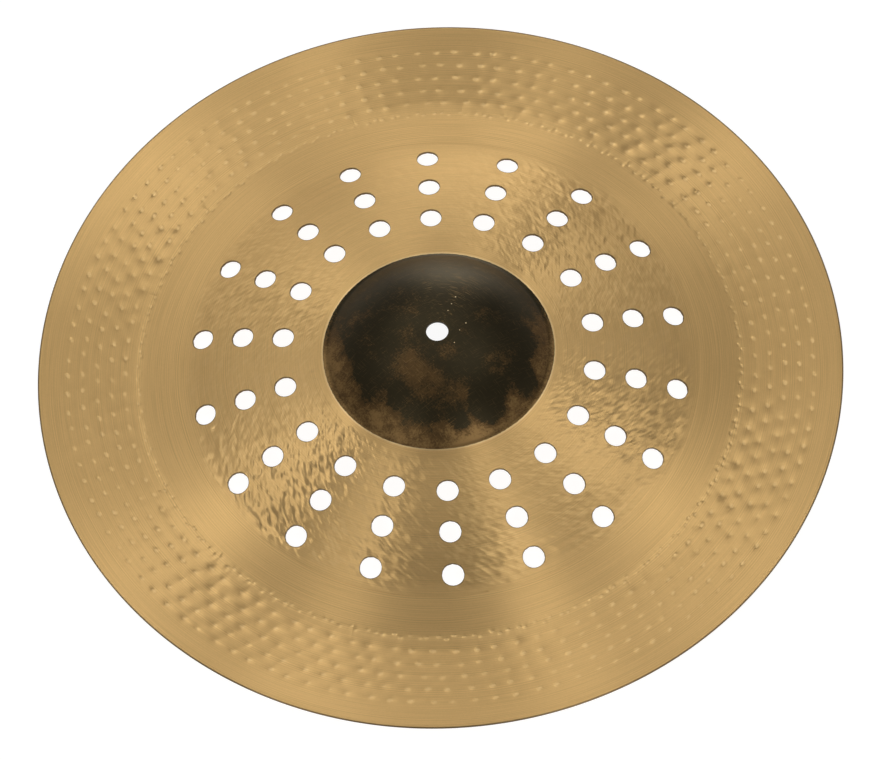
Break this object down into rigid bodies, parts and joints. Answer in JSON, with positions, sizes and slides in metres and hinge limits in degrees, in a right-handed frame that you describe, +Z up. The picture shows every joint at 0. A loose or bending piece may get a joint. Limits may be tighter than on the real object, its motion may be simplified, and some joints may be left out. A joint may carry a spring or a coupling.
{
  "type": "china cymbal",
  "caption": "Round china cymbal of hammered sheet bronze with a raw domed bell, rays of round sound holes through its bow and a turned-up peened flange.",
  "frame": {"origin": "on the cymbal's axis, level with the bend, which is the lowest ring and rests on a flat surface", "axes": "+Z up the axis towards the crown of the bell, -Y towards the front, which is the near side in the picture"},
  "size_m": [0.4826, 0.4826, 0.043],
  "materials": {
    "bronze": "hammered and lathed bronze with a satin sheen, and a dark unlathed bell"
  },
  "bodies": {
    "root": {"cymbal": "bronze"}
  },
  "joints": []
}
